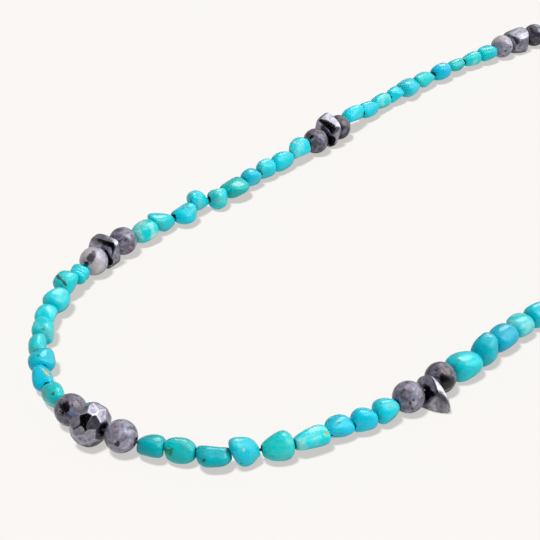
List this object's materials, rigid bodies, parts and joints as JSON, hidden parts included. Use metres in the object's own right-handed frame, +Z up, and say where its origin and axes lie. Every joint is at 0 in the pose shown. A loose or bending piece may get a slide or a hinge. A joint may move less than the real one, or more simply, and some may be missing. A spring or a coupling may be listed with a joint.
{
  "type": "beaded necklace",
  "caption": "Necklace of tumbled turquoise nuggets in one closed loop, with round larvikite beads, hematite chips and a faceted hematite bead at the front, lying flat.",
  "frame": {"origin": "middle of the bounding box's footprint, on the surface that the necklace lies on", "axes": "+Z up from the surface; +Y from the faceted bead at the front towards the clasp at the back; +X to the right seen from above"},
  "size_m": [0.0673, 0.179, 0.0058],
  "materials": {
    "turquoise": "tumbled and polished, satin gloss, with brown matrix specks",
    "larvikite": "polished, grey and mauve mottling",
    "hematite": "polished, metallic grey",
    "silver": "bright silver-coloured metal",
    "thread": "dark beading thread"
  },
  "bodies": {
    "root": {"clasp": "silver", "hematite_chip_left_1": "hematite", "hematite_chip_left_2": "hematite", "hematite_chip_left_3": "hematite", "hematite_chip_right_1": "hematite", "hematite_chip_right_2": "hematite", "hematite_chip_right_3": "hematite", "hematite_faceted": "hematite", "larvikite_front_left": "larvikite", "larvikite_front_right": "larvikite", "larvikite_left_1_a": "larvikite", "larvikite_left_1_b": "larvikite", "larvikite_left_2_a": "larvikite", "larvikite_left_2_b": "larvikite", "larvikite_left_3_a": "larvikite", "larvikite_left_3_b": "larvikite", "larvikite_right_1_a": "larvikite", "larvikite_right_1_b": "larvikite", "larvikite_right_2_a": "larvikite", "larvikite_right_2_b": "larvikite", "larvikite_right_3_a": "larvikite", "larvikite_right_3_b": "larvikite", "nugget_left_1_1": "turquoise", "nugget_left_1_2": "turquoise", "nugget_left_1_3": "turquoise", "nugget_left_1_4": "turquoise", "nugget_left_1_5": "turquoise", "nugget_left_1_6": "turquoise", "nugget_left_1_7": "turquoise", "nugget_left_1_8": "turquoise", "nugget_left_1_9": "turquoise", "nugget_right_1_1": "turquoise", "nugget_right_1_2": "turquoise", "nugget_right_1_3": "turquoise", "nugget_right_1_4": "turquoise", "nugget_right_1_5": "turquoise", "nugget_right_1_6": "turquoise", "nugget_right_1_7": "turquoise", "nugget_right_1_8": "turquoise", "nugget_right_1_9": "turquoise", "nuggets_left_2": "turquoise", "nuggets_left_3": "turquoise", "nuggets_left_4": "turquoise", "nuggets_right_2": "turquoise", "nuggets_right_3": "turquoise", "nuggets_right_4": "turquoise", "thread_front": "thread", "thread_left_2": "thread", "thread_left_3": "thread", "thread_right_2": "thread", "thread_right_3": "thread"}
  },
  "joints": []
}
